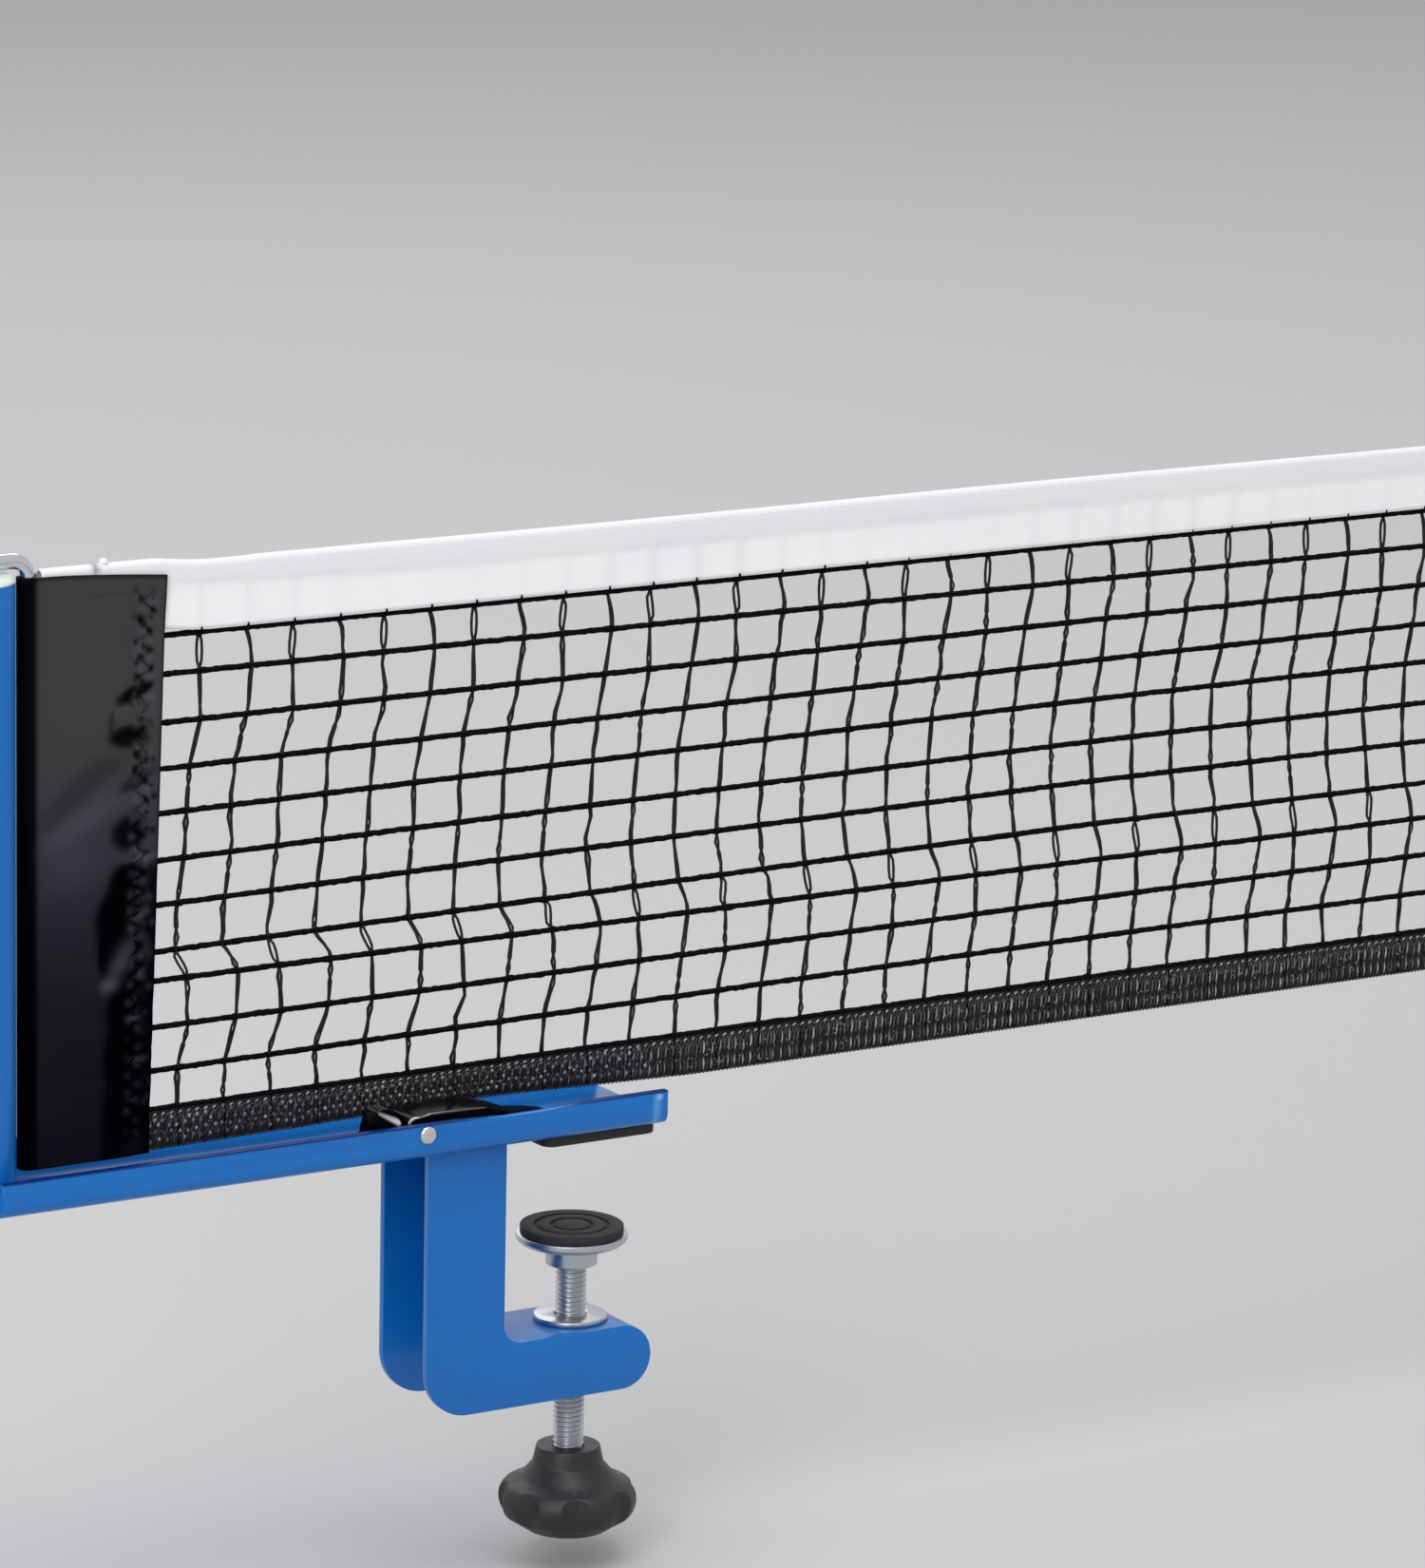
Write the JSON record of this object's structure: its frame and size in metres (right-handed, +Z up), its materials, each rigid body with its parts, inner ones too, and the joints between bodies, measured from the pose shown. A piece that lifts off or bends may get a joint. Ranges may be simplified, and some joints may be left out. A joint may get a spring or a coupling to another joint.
{
  "type": "table tennis net clamp set",
  "caption": "Clamp-on table tennis net set: blue channel-arm screw clamps with posts and height rods hold a black net with vinyl sleeves, a white top tape and a knitted lower ribbon.",
  "frame": {"origin": "centre of the left clamp's upper jaw pad, on the table's top face", "axes": "+X along the net from the left clamp to the right clamp, +Z up, the net stands in the plane y = 0, the cleat levers face -Y"},
  "size_m": [1.8742, 0.0371, 0.2621],
  "materials": {
    "blue_paint": "gloss powder coat",
    "zinc_steel": "zinc plated",
    "chrome_rod": "bright plated",
    "black_plastic": "satin moulded",
    "gloss_black": "gloss moulded",
    "pale_plastic": "natural nylon",
    "pad_rubber": "matte",
    "black_vinyl": "satin coated fabric",
    "net_yarn": "twisted yarn",
    "knit_ribbon": "ribbed knit",
    "white_tape": "woven cotton tape",
    "white_cord": "braided cord"
  },
  "bodies": {
    "left_clamp": {"left_arm": "blue_paint", "left_bracket": "blue_paint", "left_rivets": "zinc_steel", "left_table_pad": "pad_rubber", "left_screw_nut": "zinc_steel", "left_post": "blue_paint", "left_post_cap": "pale_plastic", "left_lock_nut": "blue_paint", "left_cleat": "gloss_black", "left_lever_pin": "chrome_rod"},
    "left_lower_jaw": {"left_foot": "zinc_steel", "left_foot_pad": "pad_rubber"},
    "left_jaw_screw": {"left_clamp_screw": "zinc_steel", "left_clamp_knob": "black_plastic"},
    "left_lock_nose": {"left_lock_tip": "pale_plastic"},
    "left_lock_knob_set": {"left_lock_screw": "zinc_steel", "left_lock_knob": "black_plastic"},
    "left_lever": {"left_cleat_lever": "gloss_black"},
    "net": {"net_mesh": "net_yarn", "top_tape": "white_tape", "bottom_ribbon": "knit_ribbon", "top_cord": "white_cord", "left_net_rod": "chrome_rod", "left_rod_shoe": "black_plastic", "left_sleeve": "black_vinyl", "left_cord_knot": "white_cord", "right_net_rod": "chrome_rod", "right_rod_shoe": "black_plastic", "right_sleeve": "black_vinyl", "right_cord_knot": "white_cord"},
    "right_clamp": {"right_arm": "blue_paint", "right_bracket": "blue_paint", "right_rivets": "zinc_steel", "right_table_pad": "pad_rubber", "right_screw_nut": "zinc_steel", "right_post": "blue_paint", "right_post_cap": "pale_plastic", "right_lock_nut": "blue_paint", "right_cleat": "gloss_black", "right_lever_pin": "chrome_rod"},
    "right_lower_jaw": {"right_foot": "zinc_steel", "right_foot_pad": "pad_rubber"},
    "right_jaw_screw": {"right_clamp_screw": "zinc_steel", "right_clamp_knob": "black_plastic"},
    "right_lock_nose": {"right_lock_tip": "pale_plastic"},
    "right_lock_knob_set": {"right_lock_screw": "zinc_steel", "right_lock_knob": "black_plastic"},
    "right_lever": {"right_cleat_lever": "gloss_black"}
  },
  "joints": [
    {"name": "net_height", "type": "slide", "parent": "left_clamp", "child": "net", "axis": [0, 0, 1], "range_m": [-0.0004, 0.012]},
    {"name": "right_height", "type": "slide", "parent": "net", "child": "right_clamp", "axis": [0, 0, 1], "range_m": [-0.012, 0.0004]},
    {"name": "left_jaw_slide", "type": "slide", "parent": "left_clamp", "child": "left_lower_jaw", "axis": [0, 0, 1], "range_m": [-0.012, 0.015]},
    {"name": "left_screw_turn", "type": "hinge", "parent": "left_lower_jaw", "child": "left_jaw_screw", "pos_m": [0, 0, -0.06], "axis": [0, 0, 1], "range_deg": [-3460, 4325]},
    {"name": "left_lock_slide", "type": "slide", "parent": "left_clamp", "child": "left_lock_nose", "axis": [-1, 0, 0], "range_m": [0, 0.002]},
    {"name": "left_lock_turn", "type": "hinge", "parent": "left_lock_nose", "child": "left_lock_knob_set", "pos_m": [-0.1635, 0, 0.12], "axis": [-1, 0, 0], "range_deg": [-2, 902]},
    {"name": "left_lever_swing", "type": "hinge", "parent": "left_clamp", "child": "left_lever", "pos_m": [-0.0517, -0.01, 0.0091], "axis": [0, -1, 0], "range_deg": [0, 75]},
    {"name": "right_jaw_slide", "type": "slide", "parent": "right_clamp", "child": "right_lower_jaw", "axis": [0, 0, 1], "range_m": [-0.012, 0.015]},
    {"name": "right_screw_turn", "type": "hinge", "parent": "right_lower_jaw", "child": "right_jaw_screw", "pos_m": [1.485, 0, -0.06], "axis": [0, 0, 1], "range_deg": [-3460, 4325]},
    {"name": "right_lock_slide", "type": "slide", "parent": "right_clamp", "child": "right_lock_nose", "axis": [1, 0, 0], "range_m": [0, 0.002]},
    {"name": "right_lock_turn", "type": "hinge", "parent": "right_lock_nose", "child": "right_lock_knob_set", "pos_m": [1.6485, 0, 0.12], "axis": [1, 0, 0], "range_deg": [-2, 902]},
    {"name": "right_lever_swing", "type": "hinge", "parent": "right_clamp", "child": "right_lever", "pos_m": [1.5367, -0.01, 0.0091], "axis": [0, 1, 0], "range_deg": [0, 75]}
  ],
  "couplings": [
    {"joint": "right_height", "follows": "net_height", "ratio": -1},
    {"joint": "left_screw_turn", "follows": "left_jaw_slide", "rad_per_m": 5026.5},
    {"joint": "left_lock_turn", "follows": "left_lock_slide", "rad_per_m": 7854},
    {"joint": "right_screw_turn", "follows": "right_jaw_slide", "rad_per_m": 5026.5},
    {"joint": "right_lock_turn", "follows": "right_lock_slide", "rad_per_m": 7854}
  ]
}
